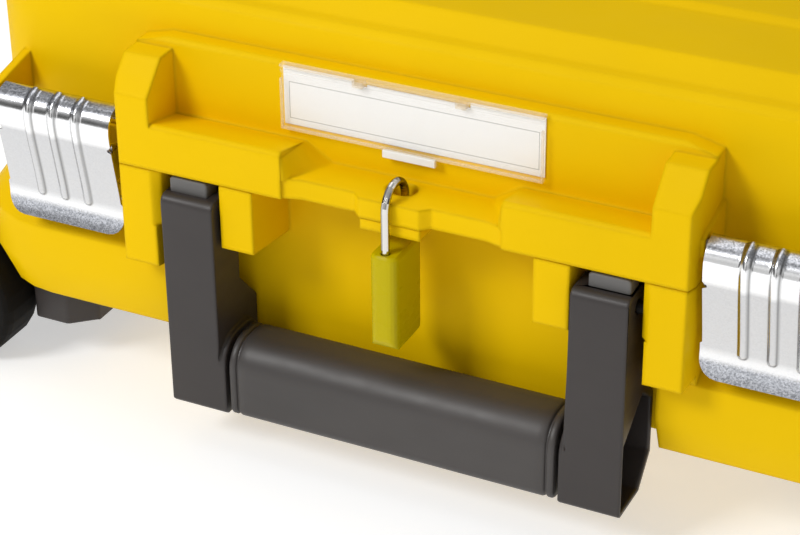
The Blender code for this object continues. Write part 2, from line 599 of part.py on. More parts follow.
def build_handle(black, rubber, steel, grey):
    arms = []
    for side, sign in sides():
        arm = prism("handle_arm_" + side, arm_profile(), "X", *span(sign, ARM_IN, ARM_OUT), black, smooth=True)
        foot_outline = [(ARM_FRONT, ARM_BOTTOM + 0.002), *arc((ARM_FRONT + 0.0150, GRIP_TOP - 0.0150), 0.0150, 180, 90, 6),
                        *arc((GRIP_REAR - 0.0120, GRIP_TOP - 0.0120), 0.0120, 90, 0, 5), (GRIP_REAR, 0.0352),
                        (-0.1760, ARM_BOTTOM), (ARM_FRONT + 0.002, ARM_BOTTOM)]
        foot = prism("add_foot_" + side, foot_outline, "X", *span(sign, FOOT_IN, ARM_IN + 0.002))
        pocket = prism(
            "cut_pocket_" + side,
            [(-0.1985, 0.0270), (-0.1775, 0.0270), (-0.1640, 0.0415), (-0.1640, 0.0705), (-0.1760, 0.0800),
             (-0.1985, 0.0640)],
            "X", *span(sign, ARM_IN + 0.004, ARM_OUT + 0.004),
        )
        bore = rod("cut_arm_bore_" + side, "X", (HANDLE_Y, HANDLE_Z), PIVOT_PIN_RADIUS + GAP,
                   *span(sign, ARM_IN - 0.002, ARM_OUT + 0.002), count=20)
        core_bore = rod("cut_core_socket_" + side, "X", (CORE_Y, CORE_Z), CORE_RADIUS + GAP,
                        *span(sign, FOOT_IN - 0.002, ARM_IN + 0.0025), count=24)
        socket = box("cut_lug_socket_" + side, span(sign, LUG_IN - GAP, LUG_OUT + GAP),
                     (HANDLE_Y - 0.0060 - GAP, HANDLE_Y + 0.0050 + GAP), (ARM_TOP - 0.0030 - GAP, ARM_TOP + 0.01))
        add(arm, foot)
        cut(arm, pocket, bore, core_bore, socket)
        lug = prism(
            "handle_lug_" + side,
            [(LUG_IN, ARM_TOP - 0.0030), (LUG_OUT, ARM_TOP - 0.0030), (LUG_OUT, LUG_TOP - 0.0012),
             (LUG_OUT - 0.0012, LUG_TOP), (LUG_IN + 0.0012, LUG_TOP), (LUG_IN, LUG_TOP - 0.0012)]
            if sign > 0 else
            [(-LUG_OUT, ARM_TOP - 0.0030), (-LUG_IN, ARM_TOP - 0.0030), (-LUG_IN, LUG_TOP - 0.0012),
             (-LUG_IN - 0.0012, LUG_TOP), (-LUG_OUT + 0.0012, LUG_TOP), (-LUG_OUT, LUG_TOP - 0.0012)],
            "Y", HANDLE_Y - 0.0060, HANDLE_Y + 0.0050, grey,
        )
        arms += [arm, lug]
        rod("handle_pin_" + side, "X", (HANDLE_Y, HANDLE_Z), PIVOT_PIN_RADIUS,
            *span(sign, BLOCK_IN + 0.0043, POST_OUT - 0.0063), steel, count=20)
    core = rod("handle_core", "X", (CORE_Y, CORE_Z), CORE_RADIUS, -ARM_IN - 0.0020, ARM_IN + 0.0020, black)
    stations = ((-GRIP_END, 0.0012), (-GRIP_END + 0.0010, 0.0), (GRIP_END - 0.0010, 0.0), (GRIP_END, 0.0012))
    rings = [[(x, y, z) for y, z in grip_section(inset)] for x, inset in stations]
    grip = loft("handle_grip", rings, rubber, smooth=True)
    through = rod("cut_grip_bore", "X", (CORE_Y, CORE_Z), CORE_RADIUS + GAP, -GRIP_END - 0.01, GRIP_END + 0.01,
                  count=24)
    cut(grip, through)
    hang_on("carry_handle_axis", (0, HANDLE_Y, HANDLE_Z), *arms, core, grip)


# ---------------------------------------------------------------- label window
def build_label(clear, paper):
    box("label_card", (-LABEL_HALF_WIDTH, LABEL_HALF_WIDTH), (PANEL_Y - 0.0009, PANEL_Y - GAP),
        (LABEL_BOTTOM, LABEL_TOP), paper)
    front, back = PANEL_Y - 0.0027, PANEL_Y - 0.0012
    flap = box("label_window", (-WINDOW_HALF_WIDTH, WINDOW_HALF_WIDTH), (front, back),
               (LABEL_BOTTOM - 0.0015, WINDOW_Z - 0.0004), clear)
    tab = box("add_window_tab", (-0.0135, 0.0135), (front - 0.0004, back + 0.0001),
              (LABEL_BOTTOM - 0.0055, LABEL_BOTTOM + 0.0005))
    barrel = rod("add_window_barrel", "X", (WINDOW_Y, WINDOW_Z), 0.0013, -WINDOW_HALF_WIDTH + 0.0002,
                 WINDOW_HALF_WIDTH - 0.0002, count=12)
    add(flap, tab, barrel)
    strip = box("label_strip", (-WINDOW_HALF_WIDTH, WINDOW_HALF_WIDTH), (PANEL_Y - 0.0042, PANEL_Y - GAP),
                (WINDOW_Z + 0.0017, WINDOW_Z + 0.0030), clear)
    for side, sign in sides():
        x = (sign * 0.0260 - 0.0030, sign * 0.0260 + 0.0030)
        notch = box("cut_window_notch_" + side, x, (WINDOW_Y - 0.004, WINDOW_Y + 0.006),
                    (WINDOW_Z - 0.0024, WINDOW_Z + 0.003))
        cut(flap, notch)
    for side, sign in sides():
        spindle = rod("add_window_spindle_" + side, "X", (WINDOW_Y, WINDOW_Z), 0.0007,
                      sign * 0.0260 - 0.0040, sign * 0.0260 + 0.0040, count=10)
        add(flap, spindle)
        lug = box("add_strip_lug_" + side, (sign * 0.0260 - 0.0026, sign * 0.0260 + 0.0026),
                  (WINDOW_Y - 0.0016, PANEL_Y - GAP - 0.0001), (WINDOW_Z - 0.0013, WINDOW_Z + 0.0020))
        lug_bore = rod("cut_strip_bore_" + side, "X", (WINDOW_Y, WINDOW_Z), 0.0010,
                       sign * 0.0260 - 0.0040, sign * 0.0260 + 0.0040, count=12)
        add(strip, lug)
        cut(strip, lug_bore)
    put_origin(flap, 0, WINDOW_Y, WINDOW_Z)
    for helper in [m.object for m in flap.modifiers]:
        helper.parent = None
    return flap


# ---------------------------------------------------------------- padlock
def build_padlock(lime, chrome, brass):
    half_x, half_y = LOCK_HALF_THICKNESS, LOCK_HALF_WIDTH
    corner = 0.0045
    body_rings = []
    for z, inset in ((LOCK_BOTTOM, 0.0012), (LOCK_BOTTOM + 0.0020, 0.0), (LOCK_TOP - 0.0016, 0.0),
                     (LOCK_TOP, 0.0010)):
        ring = rounded_ring(half_x - inset, LOCK_Y - half_y + inset, LOCK_Y + half_y - inset,
                            corner - inset, z, steps=4)
        body_rings.append(ring)
    body = loft("padlock_body", body_rings, lime, smooth=True)
    long_y, short_y = LOCK_Y - SHACKLE_ARC_RADIUS, LOCK_Y + SHACKLE_ARC_RADIUS
    for end, edge, inward in (("front", LOCK_Y - half_y, 1), ("rear", LOCK_Y + half_y, -1)):
        radius = 0.0080
        centre = (edge + inward * radius, LOCK_BOTTOM + radius)
        turn = (180, 270) if inward > 0 else (360, 270)
        outline = arc(centre, radius, turn[0], turn[1], 6)
        outline += [(centre[0], LOCK_BOTTOM - 0.001), (edge - inward * 0.001, LOCK_BOTTOM - 0.001),
                    (edge - inward * 0.001, centre[1])]
        cut(body, prism("cut_lock_corner_" + end, outline, "X", -half_x - 0.001, half_x + 0.001))
    bores = [
        rod("cut_long_leg", "Z", (0, long_y), SHACKLE_RADIUS + GAP, LOCK_TOP - 0.034, LOCK_TOP + 0.01, count=16),
        rod("cut_short_leg", "Z", (0, short_y), SHACKLE_RADIUS + GAP, LOCK_TOP - 0.007, LOCK_TOP + 0.01, count=16),
        rod("cut_plug", "Z", (0, LOCK_Y), PLUG_RADIUS + GAP, LOCK_BOTTOM - 0.01, LOCK_BOTTOM + 0.020, count=24),
    ]
    cut(body, *bores)

    path = [(long_y, LOCK_TOP - 0.031), (long_y, SHACKLE_ARC_Z)]
    path += arc((LOCK_Y, SHACKLE_ARC_Z), SHACKLE_ARC_RADIUS, 180, 0, 14)[1:]
    path += [(short_y, LOCK_TOP - 0.006)]
    rings = []
    for i, (y, z) in enumerate(path):
        before, after = path[max(i - 1, 0)], path[min(i + 1, len(path) - 1)]
        along = Vector((0, after[0] - before[0], after[1] - before[1])).normalized()
        across = Vector((0, along.z, -along.y))
        rings.append([
            Vector((0, y, z)) + SHACKLE_RADIUS * (math.cos(a) * Vector((1, 0, 0)) + math.sin(a) * across)
            for a in (2 * math.pi * k / 14 for k in range(14))
        ])
    shackle = loft("padlock_shackle", rings, chrome, smooth=True)
    plug = rod("padlock_plug", "Z", (0, LOCK_Y), PLUG_RADIUS, LOCK_BOTTOM + 0.0004, LOCK_BOTTOM + 0.0190, brass)
    keyway = box("cut_keyway", (-0.0006, 0.0006), (LOCK_Y - 0.0030, LOCK_Y + 0.0026),
                 (LOCK_BOTTOM - 0.01, LOCK_BOTTOM + 0.014))
    cut(plug, keyway)
    hang_on("padlock_axis", (0, LOCK_Y, SHACKLE_ARC_Z + 0.006), shackle, body, plug)


# ---------------------------------------------------------------- tray
def build_tray(black, grey):
    outer = (TRAY_HALF_WIDTH, TRAY_FRONT, TRAY_REAR, 0.0320)
    tray = loft("tray", [rounded_ring(*outer, z) for z in (TRAY_BOTTOM, TRAY_TOP)], black)
    cells = []
    spine = 0.0030
    middle = (TRAY_FRONT + TRAY_REAR) / 2
    for name, front, rear in (("front", TRAY_FRONT + TRAY_WALL, middle - spine),
                              ("rear", middle + spine, TRAY_REAR - TRAY_WALL)):
        cells.append(loft(
            f"cut_tray_{name}",
            [rounded_ring(TRAY_HALF_WIDTH - TRAY_WALL, front, rear, 0.020, z, steps=3)
             for z in (TRAY_BOTTOM + TRAY_WALL, TRAY_TOP + 0.01)],
        ))
    cut(tray, *cells)
    for side, sign in sides():
        x = (sign * (TRAY_HANDLE_HALF_SPAN + 0.0050) - 0.0030, sign * (TRAY_HANDLE_HALF_SPAN + 0.0050) + 0.0030)
        lug = box("add_tray_lug_" + side, x, (middle - 0.0045, middle + 0.0045), (TRAY_TOP - 0.004, TRAY_HANDLE_Z + 0.0035))
        add(tray, lug)
        bore = rod("cut_tray_lug_" + side, "X", (middle, TRAY_HANDLE_Z), 0.0018 + GAP, x[0] - 0.002, x[1] + 0.002,
                   count=12)
        cut(tray, bore)
    slot_x = (-0.120, 0.0, 0.120)
    for i, x in enumerate(slot_x):
        box(f"tray_divider_{i + 1}", (x - 0.0010, x + 0.0010),
            (TRAY_FRONT + TRAY_WALL + GAP, middle - spine - GAP),
            (TRAY_BOTTOM + TRAY_WALL + GAP, TRAY_TOP - 0.003), grey)
    grip_y = middle + 0.0230
    handle = rod("tray_handle", "X", (grip_y, TRAY_HANDLE_Z), 0.0035, -TRAY_HANDLE_HALF_SPAN,
                 TRAY_HANDLE_HALF_SPAN, black, count=14)
    for side, sign in sides():
        arm = box("add_tray_arm_" + side, span(sign, TRAY_HANDLE_HALF_SPAN - 0.0050, TRAY_HANDLE_HALF_SPAN + 0.0005),
                  (middle - 0.0030, grip_y + 0.0020), (TRAY_HANDLE_Z - 0.0022, TRAY_HANDLE_Z + 0.0022))
        stub = rod("add_tray_stub_" + side, "X", (middle, TRAY_HANDLE_Z), 0.0018,
                   *span(sign, TRAY_HANDLE_HALF_SPAN - 0.0010, TRAY_HANDLE_HALF_SPAN + 0.0078), count=12)
        add(handle, arm, stub)
    hang_on("tray_handle_axis", (0, middle, TRAY_HANDLE_Z), handle)


# ---------------------------------------------------------------- wheels and chassis
def build_wheel(name, y, rubber, grey):
    half = WHEEL_WIDTH / 2
    hub_radius = 0.0240

    def turned(piece, stations, material, count=28):
        bm = bmesh.new()
        rows = [
            [bm.verts.new((WHEEL_X + radius * math.cos(a), y + along, WHEEL_Z + radius * math.sin(a)))
             for a in (2 * math.pi * k / count for k in range(count))]
            for radius, along in stations
        ]
        for k, near in enumerate(rows):
            far = rows[(k + 1) % len(rows)]
            for i in range(count):
                j = (i + 1) % count
                bm.faces.new((near[i], near[j], far[j], far[i]))
        return make_object(piece, bm, material, smooth=True)

    tyre = turned("tyre_" + name, (
        (hub_radius, half), (WHEEL_RADIUS - 0.0030, half), (WHEEL_RADIUS - 0.0008, half - 0.0020),
        (WHEEL_RADIUS, half - 0.0050), (WHEEL_RADIUS, -half + 0.0050), (WHEEL_RADIUS - 0.0008, -half + 0.0020),
        (WHEEL_RADIUS - 0.0030, -half), (hub_radius, -half)), rubber)
    bore = AXLE_RADIUS + GAP
    hub = turned("hub_" + name, (
        (bore, half - 0.0010), (0.0090, half - 0.0010), (0.0110, half - 0.0050), (0.0180, half - 0.0050),
        (0.0200, half - 0.0010), (hub_radius - GAP, half - 0.0010), (hub_radius - GAP, -half + 0.0010),
        (0.0200, -half + 0.0010), (0.0180, -half + 0.0050), (0.0110, -half + 0.0050),
        (0.0090, -half + 0.0010), (bore, -half + 0.0010)), grey)
    hang_on("wheel_axis_" + name, (WHEEL_X, y, WHEEL_Z), tyre, hub)


def build_chassis(black, rubber, steel, chrome):
    top = BASE_BOTTOM - GAP
    step_x = WHEEL_X + WHEEL_RADIUS + 0.0030
    front, rear = CARRIER_FRONT, CARRIER_REAR
    outline = [
        (-0.2520, front), (step_x, front), (step_x, front - 0.0120), (CARRIER_IN - 0.0130, front - 0.0120),
        (CARRIER_IN, front - 0.0010), (CARRIER_IN, rear + 0.0010), (CARRIER_IN - 0.0130, rear + 0.0120),
        (step_x, rear + 0.0120), (step_x, rear), (-0.2520, rear),
        (-0.2760, rear - 0.0060), (-0.2760, front + 0.0060),
    ]
    carrier = prism("wheel_carrier", outline, "Z", CARRIER_BOTTOM, top, black)
    relief = box("cut_carrier_middle", (-0.2900, -0.2150), (front + 0.045, rear - 0.045),
                 (CARRIER_BOTTOM - 0.01, top - 0.012))
    axle_bore = rod("cut_axle_bore", "Y", (WHEEL_X, WHEEL_Z), AXLE_RADIUS + GAP, front - 0.02, rear + 0.02, count=20)
    cut(carrier, relief, axle_bore)
    skid = prism(
        "skid_carrier",
        [(SKID_IN, SKID_FRONT), (SKID_OUT - 0.016, SKID_FRONT), (SKID_OUT, SKID_FRONT + 0.016),
         (SKID_OUT, SKID_REAR - 0.016), (SKID_OUT - 0.016, SKID_REAR), (SKID_IN, SKID_REAR)],
        "Z", PAD_HEIGHT + GAP, top, black,
    )
    hollow = box("cut_skid_middle", (SKID_IN - 0.01, SKID_OUT + 0.01), (-0.052, 0.066), (-0.01, top - 0.010))
    cut(skid, hollow)
    for name, sign in (("front", -1), ("rear", 1)):
        y = ROD_Y_CENTRE + sign * ROD_HALF_SPAN
        left = CARRIER_IN - 0.0100
        cut(carrier, rod("cut_tube_socket_" + name, "X", (y, ROD_Z), TUBE_RADIUS + GAP, left - GAP,
                         CARRIER_IN + 0.01))
        cut(skid, rod("cut_tube_end_" + name, "X", (y, ROD_Z), TUBE_RADIUS + GAP, SKID_IN - 0.01,
                      SKID_IN + 0.0240 + GAP),
            rod("cut_rod_way_" + name, "X", (y, ROD_Z), ROD_RADIUS + GAP, SKID_IN, SKID_OUT + 0.01))
        tube = rod("guide_tube_" + name, "X", (y, ROD_Z), TUBE_RADIUS, left, SKID_IN + 0.0240, steel)
        cut(tube, rod("cut_tube_inside_" + name, "X", (y, ROD_Z), ROD_RADIUS + 0.0004, left - 0.01,
                      SKID_IN + 0.03))
        pull_rod = rod("pull_rod_" + name, "X", (y, ROD_Z), ROD_RADIUS, -0.1300, PULL_GRIP_IN + 0.0100, chrome)
        pad_y = SKID_FRONT + 0.034 if sign < 0 else SKID_REAR - 0.034
        box("foot_pad_" + name, (SKID_IN + 0.004, SKID_OUT - 0.010), (pad_y - 0.026, pad_y + 0.026),
            (0.0, PAD_HEIGHT), rubber)
        cap_y = (WHEEL_FRONT_Y - 0.0160) if sign < 0 else (WHEEL_REAR_Y + 0.0160)
        low, high = (cap_y - 0.0050, cap_y) if sign < 0 else (cap_y, cap_y + 0.0050)
        cap = rod("axle_cap_" + name, "Y", (WHEEL_X, WHEEL_Z), 0.0085, low, high, black, count=20)
        inner = (cap_y - 0.0030, cap_y + 0.01) if sign < 0 else (cap_y - 0.01, cap_y + 0.0030)
        cut(cap, rod("cut_cap_bore_" + name, "Y", (WHEEL_X, WHEEL_Z), AXLE_RADIUS + GAP, *inner, count=16))
    rod("axle", "Y", (WHEEL_X, WHEEL_Z), AXLE_RADIUS, WHEEL_FRONT_Y - 0.0185, WHEEL_REAR_Y + 0.0185, steel, count=20)
    span_y = ROD_HALF_SPAN + 0.016
    grip = prism(
        "pull_grip",
        [(PULL_GRIP_IN, ROD_Y_CENTRE - span_y), (PULL_GRIP_OUT - 0.008, ROD_Y_CENTRE - span_y),
         (PULL_GRIP_OUT, ROD_Y_CENTRE - span_y + 0.010), (PULL_GRIP_OUT, ROD_Y_CENTRE + span_y - 0.010),
         (PULL_GRIP_OUT - 0.008, ROD_Y_CENTRE + span_y), (PULL_GRIP_IN, ROD_Y_CENTRE + span_y)],
        "Z", ROD_Z - 0.0130, ROD_Z + 0.0130, black,
    )
    for name, sign in (("front", -1), ("rear", 1)):
        y = ROD_Y_CENTRE + sign * ROD_HALF_SPAN
        cut(grip, rod("cut_grip_socket_" + name, "X", (y, ROD_Z), ROD_RADIUS + GAP, PULL_GRIP_IN - 0.01,
                      PULL_GRIP_IN + 0.0103))
    for name, x, ys in (("wheel", -0.2250, (-0.110, 0.124)), ("skid", 0.2330, (-0.118, 0.132))):
        owner = carrier if name == "wheel" else skid
        depth = CARRIER_BOTTOM if name == "wheel" else PAD_HEIGHT + GAP
        for i, y in enumerate(ys):
            head_z = depth + 0.004 if name == "wheel" else 0.0300
            seat = rod(f"cut_seat_{name}_{i}", "Z", (x, y), 0.0062, depth - 0.01, head_z, count=16)
            screw_way = rod(f"cut_screw_way_{name}_{i}", "Z", (x, y), 0.0026, depth - 0.01, top + 0.01, count=12)
            cut(owner, seat, screw_way)
            screw = rod(f"screw_{name}_{i + 1}", "Z", (x, y), 0.0022, head_z - 0.0010, top - 0.0004, steel, count=12)
            head = rod(f"add_screw_head_{name}_{i}", "Z", (x, y), 0.0055, head_z - 0.0035, head_z - 0.0004, count=16)
            add(screw, head)


def main():
    clear_scene()
    yellow = plastic("yellow_plastic", (0.86, 0.60, 0.0), 0.42)
    black = plastic("black_plastic", (0.030, 0.027, 0.026), 0.50)
    rubber = plastic("black_rubber", (0.020, 0.019, 0.018), 0.75)
    grey = plastic("grey_plastic", (0.20, 0.20, 0.20), 0.55)
    zinc = plastic("zinc_steel", (0.78, 0.79, 0.82), 0.28, 1.0)
    steel = plastic("steel", (0.62, 0.62, 0.63), 0.32, 1.0)
    chrome = plastic("chrome", (0.86, 0.86, 0.88), 0.08, 1.0)
    lime = plastic("lime_anodised", (0.55, 0.60, 0.02), 0.38, 0.6)
    brass = plastic("brass", (0.78, 0.60, 0.25), 0.30, 1.0)
    clear = plastic("clear_plastic", (0.95, 0.95, 0.95), 0.08, 0.0, 0.9)
    paper = plastic("paper", (0.92, 0.92, 0.90), 0.80)

    build_base(yellow)
    lid = build_lid(yellow)
    seal = build_seal(rubber)
    build_hinge_pins(steel)
    for side, sign in sides():
        build_latch(side, sign, zinc, steel)
    build_handle(black, rubber, steel, grey)
    build_label(clear, paper)
    build_padlock(lime, chrome, brass)
    build_tray(black, grey)
    for name, y in (("front", WHEEL_FRONT_Y), ("rear", WHEEL_REAR_Y)):
        build_wheel(name, y, rubber, grey)
    build_chassis(black, rubber, steel, chrome)
    hang_on("lid_axis", (0, HINGE_Y, HINGE_Z), lid, seal)


main()
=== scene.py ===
"""Looks for the wheeled tool case: its materials, rounded edges, detailed pieces, lights and camera.

Lengths are in metres. The case stands on z = 0 with its front towards -Y and its wheels at the -X end.
"""

import json
import math

import bmesh
import bpy
from mathutils import Matrix, Vector


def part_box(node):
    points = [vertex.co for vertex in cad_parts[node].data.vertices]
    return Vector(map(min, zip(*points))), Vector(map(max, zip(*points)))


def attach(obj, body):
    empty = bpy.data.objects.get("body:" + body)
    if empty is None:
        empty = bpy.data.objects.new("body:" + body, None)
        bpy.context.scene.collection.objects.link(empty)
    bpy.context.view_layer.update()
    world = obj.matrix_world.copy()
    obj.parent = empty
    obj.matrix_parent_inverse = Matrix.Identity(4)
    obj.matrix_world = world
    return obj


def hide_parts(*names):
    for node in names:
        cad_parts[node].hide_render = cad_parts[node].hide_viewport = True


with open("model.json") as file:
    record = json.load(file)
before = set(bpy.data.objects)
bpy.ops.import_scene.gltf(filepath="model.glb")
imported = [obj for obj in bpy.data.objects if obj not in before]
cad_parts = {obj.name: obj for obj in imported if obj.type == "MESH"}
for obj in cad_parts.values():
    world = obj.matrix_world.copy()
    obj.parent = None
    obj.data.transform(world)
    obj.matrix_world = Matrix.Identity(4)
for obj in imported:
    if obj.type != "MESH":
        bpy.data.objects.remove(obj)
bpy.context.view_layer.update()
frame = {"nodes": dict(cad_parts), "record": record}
nodes = frame["nodes"]


# ---------------------------------------------------------------- material helpers
class Nodes:
    """Short names for building one material's node tree."""

    def __init__(self, name):
        self.material = bpy.data.materials.new(name)
        self.material.use_nodes = True
        self.tree = self.material.node_tree
        self.shader = self.tree.nodes["Principled BSDF"]
        self.where = self.add("ShaderNodeTexCoord").outputs["Object"]

    def add(self, kind, **settings):
        node = self.tree.nodes.new(kind)
        for key, value in settings.items():
            setattr(node, key, value)
        return node

    def link(self, a, b):
        self.tree.links.new(a, b)

    def noise(self, scale, detail=4.0, roughness=0.55, stretch=None):
        node = self.add("ShaderNodeTexNoise")
        node.inputs["Scale"].default_value = scale
        node.inputs["Detail"].default_value = detail
        node.inputs["Roughness"].default_value = roughness
        source = self.where
        if stretch:
            mapping = self.add("ShaderNodeMapping")
            mapping.inputs["Scale"].default_value = stretch
            self.link(source, mapping.inputs["Vector"])
            source = mapping.outputs["Vector"]
        self.link(source, node.inputs["Vector"])
        return node.outputs["Fac"]

    def ramp(self, fac, stops):
        node = self.add("ShaderNodeValToRGB")
        elements = node.color_ramp.elements
        while len(elements) < len(stops):
            elements.new(0.5)
        for element, (place, color) in zip(elements, stops):
            element.position = place
            element.color = (*color, 1.0)
        self.link(fac, node.inputs["Fac"])
        return node.outputs["Color"]

    def map_range(self, fac, low, high, start=0.0, end=1.0):
        node = self.add("ShaderNodeMapRange")
        node.inputs["From Min"].default_value = start
        node.inputs["From Max"].default_value = end
        node.inputs["To Min"].default_value = low
        node.inputs["To Max"].default_value = high
        self.link(fac, node.inputs["Value"])
        return node.outputs["Result"]

    def math(self, operation, a, b=None):
        node = self.add("ShaderNodeMath", operation=operation)
        for socket, value in zip(node.inputs, (a, b)):
            if value is None:
                continue
            if isinstance(value, (int, float)):
                socket.default_value = value
            else:
                self.link(value, socket)
        return node.outputs["Value"]

    def bump(self, heights, depths, rolled=None):
        """One bump after another, each with its own depth. Rolled is the edges' radius in the shading."""
        normal = None
        if rolled:
            soft = self.add("ShaderNodeBevel", samples=6)
            soft.inputs["Radius"].default_value = rolled
            normal = soft.outputs["Normal"]
        for height, depth in zip(heights, depths):
            node = self.add("ShaderNodeBump")
            node.inputs["Strength"].default_value = 1.0
            node.inputs["Distance"].default_value = depth
            self.link(height, node.inputs["Height"])
            if normal:
                self.link(normal, node.inputs["Normal"])
            normal = node.outputs["Normal"]
        self.link(normal, self.shader.inputs["Normal"])


def shade(value, factor):
    return tuple(channel * factor for channel in value)


def moulded(name, color, low, high, grain=1500.0, depth=0.00004, wave=0.00008, contrast=0.06, specular=0.5,
            rolled=0.0016):
    """Moulded plastic or rubber: a fine grain, a slow waviness of the wall and slightly uneven gloss."""
    n = Nodes(name)
    broad = n.noise(9.0, 3.0)
    fine = n.noise(grain, 2.0, 0.6)
    flow = n.noise(38.0, 3.0, 0.5, (1.0, 1.0, 2.4))
    n.link(n.ramp(broad, [(0.3, shade(color, 1 - contrast)), (0.7, shade(color, 1 + contrast))]),
           n.shader.inputs["Base Color"])
    n.link(n.map_range(flow, low, high, 0.3, 0.7), n.shader.inputs["Roughness"])
    n.shader.inputs["Specular IOR Level"].default_value = specular
    n.bump((flow, fine), (wave, depth), rolled=rolled)
    return n.material


def metal(name, color, low, high, brush=None, depth=0.00002):
    """Bare or plated metal, with drawing marks along one axis where brush gives their stretch."""
    n = Nodes(name)
    marks = n.noise(420.0, 3.0, 0.6, brush) if brush else n.noise(260.0, 4.0)
    stain = n.noise(30.0, 4.0)
    n.link(n.ramp(stain, [(0.3, shade(color, 0.86)), (0.7, color)]), n.shader.inputs["Base Color"])
    n.link(n.map_range(marks, low, high, 0.25, 0.75), n.shader.inputs["Roughness"])
    n.shader.inputs["Metallic"].default_value = 1.0
    n.bump((marks,), (depth,))
    return n.material


def zinc(name):
    """Bright zinc plate over pressed sheet.

    Three vertex values place its look: one marks where the plate is matte and spangled, and paints dark
    reflection bands over the roll and along the lip; one paints shade along the feet of the ribs; and one
    paints the reflection that sets how bright the clean plate is.
    """
    n = Nodes(name)
    cells = n.add("ShaderNodeTexVoronoi")
    cells.inputs["Scale"].default_value = 1600.0
    n.link(n.where, cells.inputs["Vector"])
    crystal = n.add("ShaderNodeSeparateColor")
    n.link(cells.outputs["Color"], crystal.inputs["Color"])
    speck = crystal.outputs["Red"]
    haze = n.noise(55.0, 4.0)
    dull_and_painted_dark = n.add("ShaderNodeAttribute", attribute_name="dull_and_painted_dark").outputs["Fac"]
    painted_rib_shade = n.add("ShaderNodeAttribute", attribute_name="painted_rib_shade").outputs["Fac"]
    painted_reflection_tone = n.add("ShaderNodeAttribute", attribute_name="painted_reflection_tone").outputs["Fac"]
    # Painted reflection: the clean plate's brightness follows the vertex tone, with a little real spangle mixed
    # in.
    painted_reflection_level = n.math("ADD", n.math("MULTIPLY", painted_reflection_tone, 0.90), n.math("MULTIPLY", speck, 0.10))
    clean = n.ramp(painted_reflection_level, [(0.0, (0.56, 0.56, 0.57)), (1.0, (0.96, 0.96, 0.96))])
    spangled = n.ramp(speck, [(0.0, (0.26, 0.27, 0.29)), (1.0, (0.60, 0.61, 0.65))])
    # Mixed towards the dark spangled plate: real spangle, with painted dark reflection bands over the roll and
    # lip.
    spangle_and_painted_dark = n.add("ShaderNodeMix", data_type="RGBA")
    n.link(dull_and_painted_dark, spangle_and_painted_dark.inputs["Factor"])
    n.link(clean, spangle_and_painted_dark.inputs["A"])
    n.link(spangled, spangle_and_painted_dark.inputs["B"])
    # Painted shade: the plate goes near black along the feet of the ribs.
    pressed = n.add("ShaderNodeMix", data_type="RGBA")
    n.link(n.math("MULTIPLY", painted_rib_shade, 0.8), pressed.inputs["Factor"])
    n.link(spangle_and_painted_dark.outputs["Result"], pressed.inputs["A"])
    pressed.inputs["B"].default_value = (0.16, 0.16, 0.16, 1.0)
    n.link(pressed.outputs["Result"], n.shader.inputs["Base Color"])
    rough = n.math("ADD", n.map_range(dull_and_painted_dark, 0.14, 0.24), n.map_range(haze, -0.02, 0.04, 0.3, 0.7))
    n.link(rough, n.shader.inputs["Roughness"])
    n.shader.inputs["Metallic"].default_value = 1.0
    n.bump((speck, haze), (0.000002, 0.00008))
    return n.material


def clear(name, color, alpha):
    """Clear moulded plastic: seen through, with faint flow marks in its gloss."""
    n = Nodes(name)
    flow = n.noise(60.0, 3.0, 0.5, (0.3, 1.0, 1.0))
    n.link(n.ramp(flow, [(0.3, shade(color, 0.97)), (0.7, color)]), n.shader.inputs["Base Color"])
    n.link(n.map_range(flow, 0.05, 0.12, 0.3, 0.7), n.shader.inputs["Roughness"])
    n.shader.inputs["Alpha"].default_value = alpha
    n.bump((flow,), (0.00006,))
    return n.material


def card(name, low, high):
    """White card with a thin grey frame line printed a little inside its edge."""
    n = Nodes(name)
    place = n.add("ShaderNodeSeparateXYZ")
    n.link(n.where, place.inputs["Vector"])
    width = 0.00016

    def edge(axis, at):
        away = n.math("ABSOLUTE", n.math("SUBTRACT", place.outputs[axis], at))
        return n.math("LESS_THAN", away, width)

    def between(axis, start, end):
        above = n.math("GREATER_THAN", place.outputs[axis], start - width)
        below = n.math("LESS_THAN", place.outputs[axis], end + width)
        return n.math("MULTIPLY", above, below)

    x0, x1 = low.x + 0.0017, high.x - 0.0017
    z0, z1 = low.z + 0.0034, high.z - 0.0050
    sides = n.math("MULTIPLY", n.math("MAXIMUM", edge("X", x0), edge("X", x1)), between("Z", z0, z1))
    ends = n.math("MULTIPLY", n.math("MAXIMUM", edge("Z", z0), edge("Z", z1)), between("X", x0, x1))
    line = n.math("MAXIMUM", sides, ends)
    fibre = n.noise(900.0, 4.0, 0.7)
    mix = n.add("ShaderNodeMix", data_type="RGBA")
    n.link(line, mix.inputs["Factor"])
    n.link(n.ramp(fibre, [(0.3, (0.86, 0.86, 0.85)), (0.7, (0.93, 0.93, 0.92))]), mix.inputs["A"])
    mix.inputs["B"].default_value = (0.34, 0.34, 0.33, 1.0)
    n.link(mix.outputs["Result"], n.shader.inputs["Base Color"])
    n.link(n.map_range(fibre, 0.7, 0.9), n.shader.inputs["Roughness"])
    n.bump((fibre,), (0.00002,))
    return n.material


def polished_painted_reflection(name, middle, edge):
    """Polished steel rod with fine wiping marks, its colour a painted reflection: bright where it faces the
    camera, dark towards its sides.
    """
    n = Nodes(name)
    painted_facing = n.add("ShaderNodeLayerWeight")
    painted_facing.inputs["Blend"].default_value = 0.42
    wipes = n.noise(500.0, 3.0, 0.6, (1.0, 1.0, 0.05))
    fac = n.math("ADD", painted_facing.outputs["Facing"], n.map_range(wipes, -0.04, 0.04, 0.3, 0.7))
    # Painted reflection: the colour runs from the bright middle to the dark edge by how squarely the rod faces
    # the camera.
    n.link(n.ramp(fac, [(0.20, middle), (0.62, edge)]), n.shader.inputs["Base Color"])
    n.link(n.map_range(wipes, 0.05, 0.12, 0.3, 0.7), n.shader.inputs["Roughness"])
    n.shader.inputs["Metallic"].default_value = 1.0
    n.bump((wipes,), (0.000004,))
    return n.material


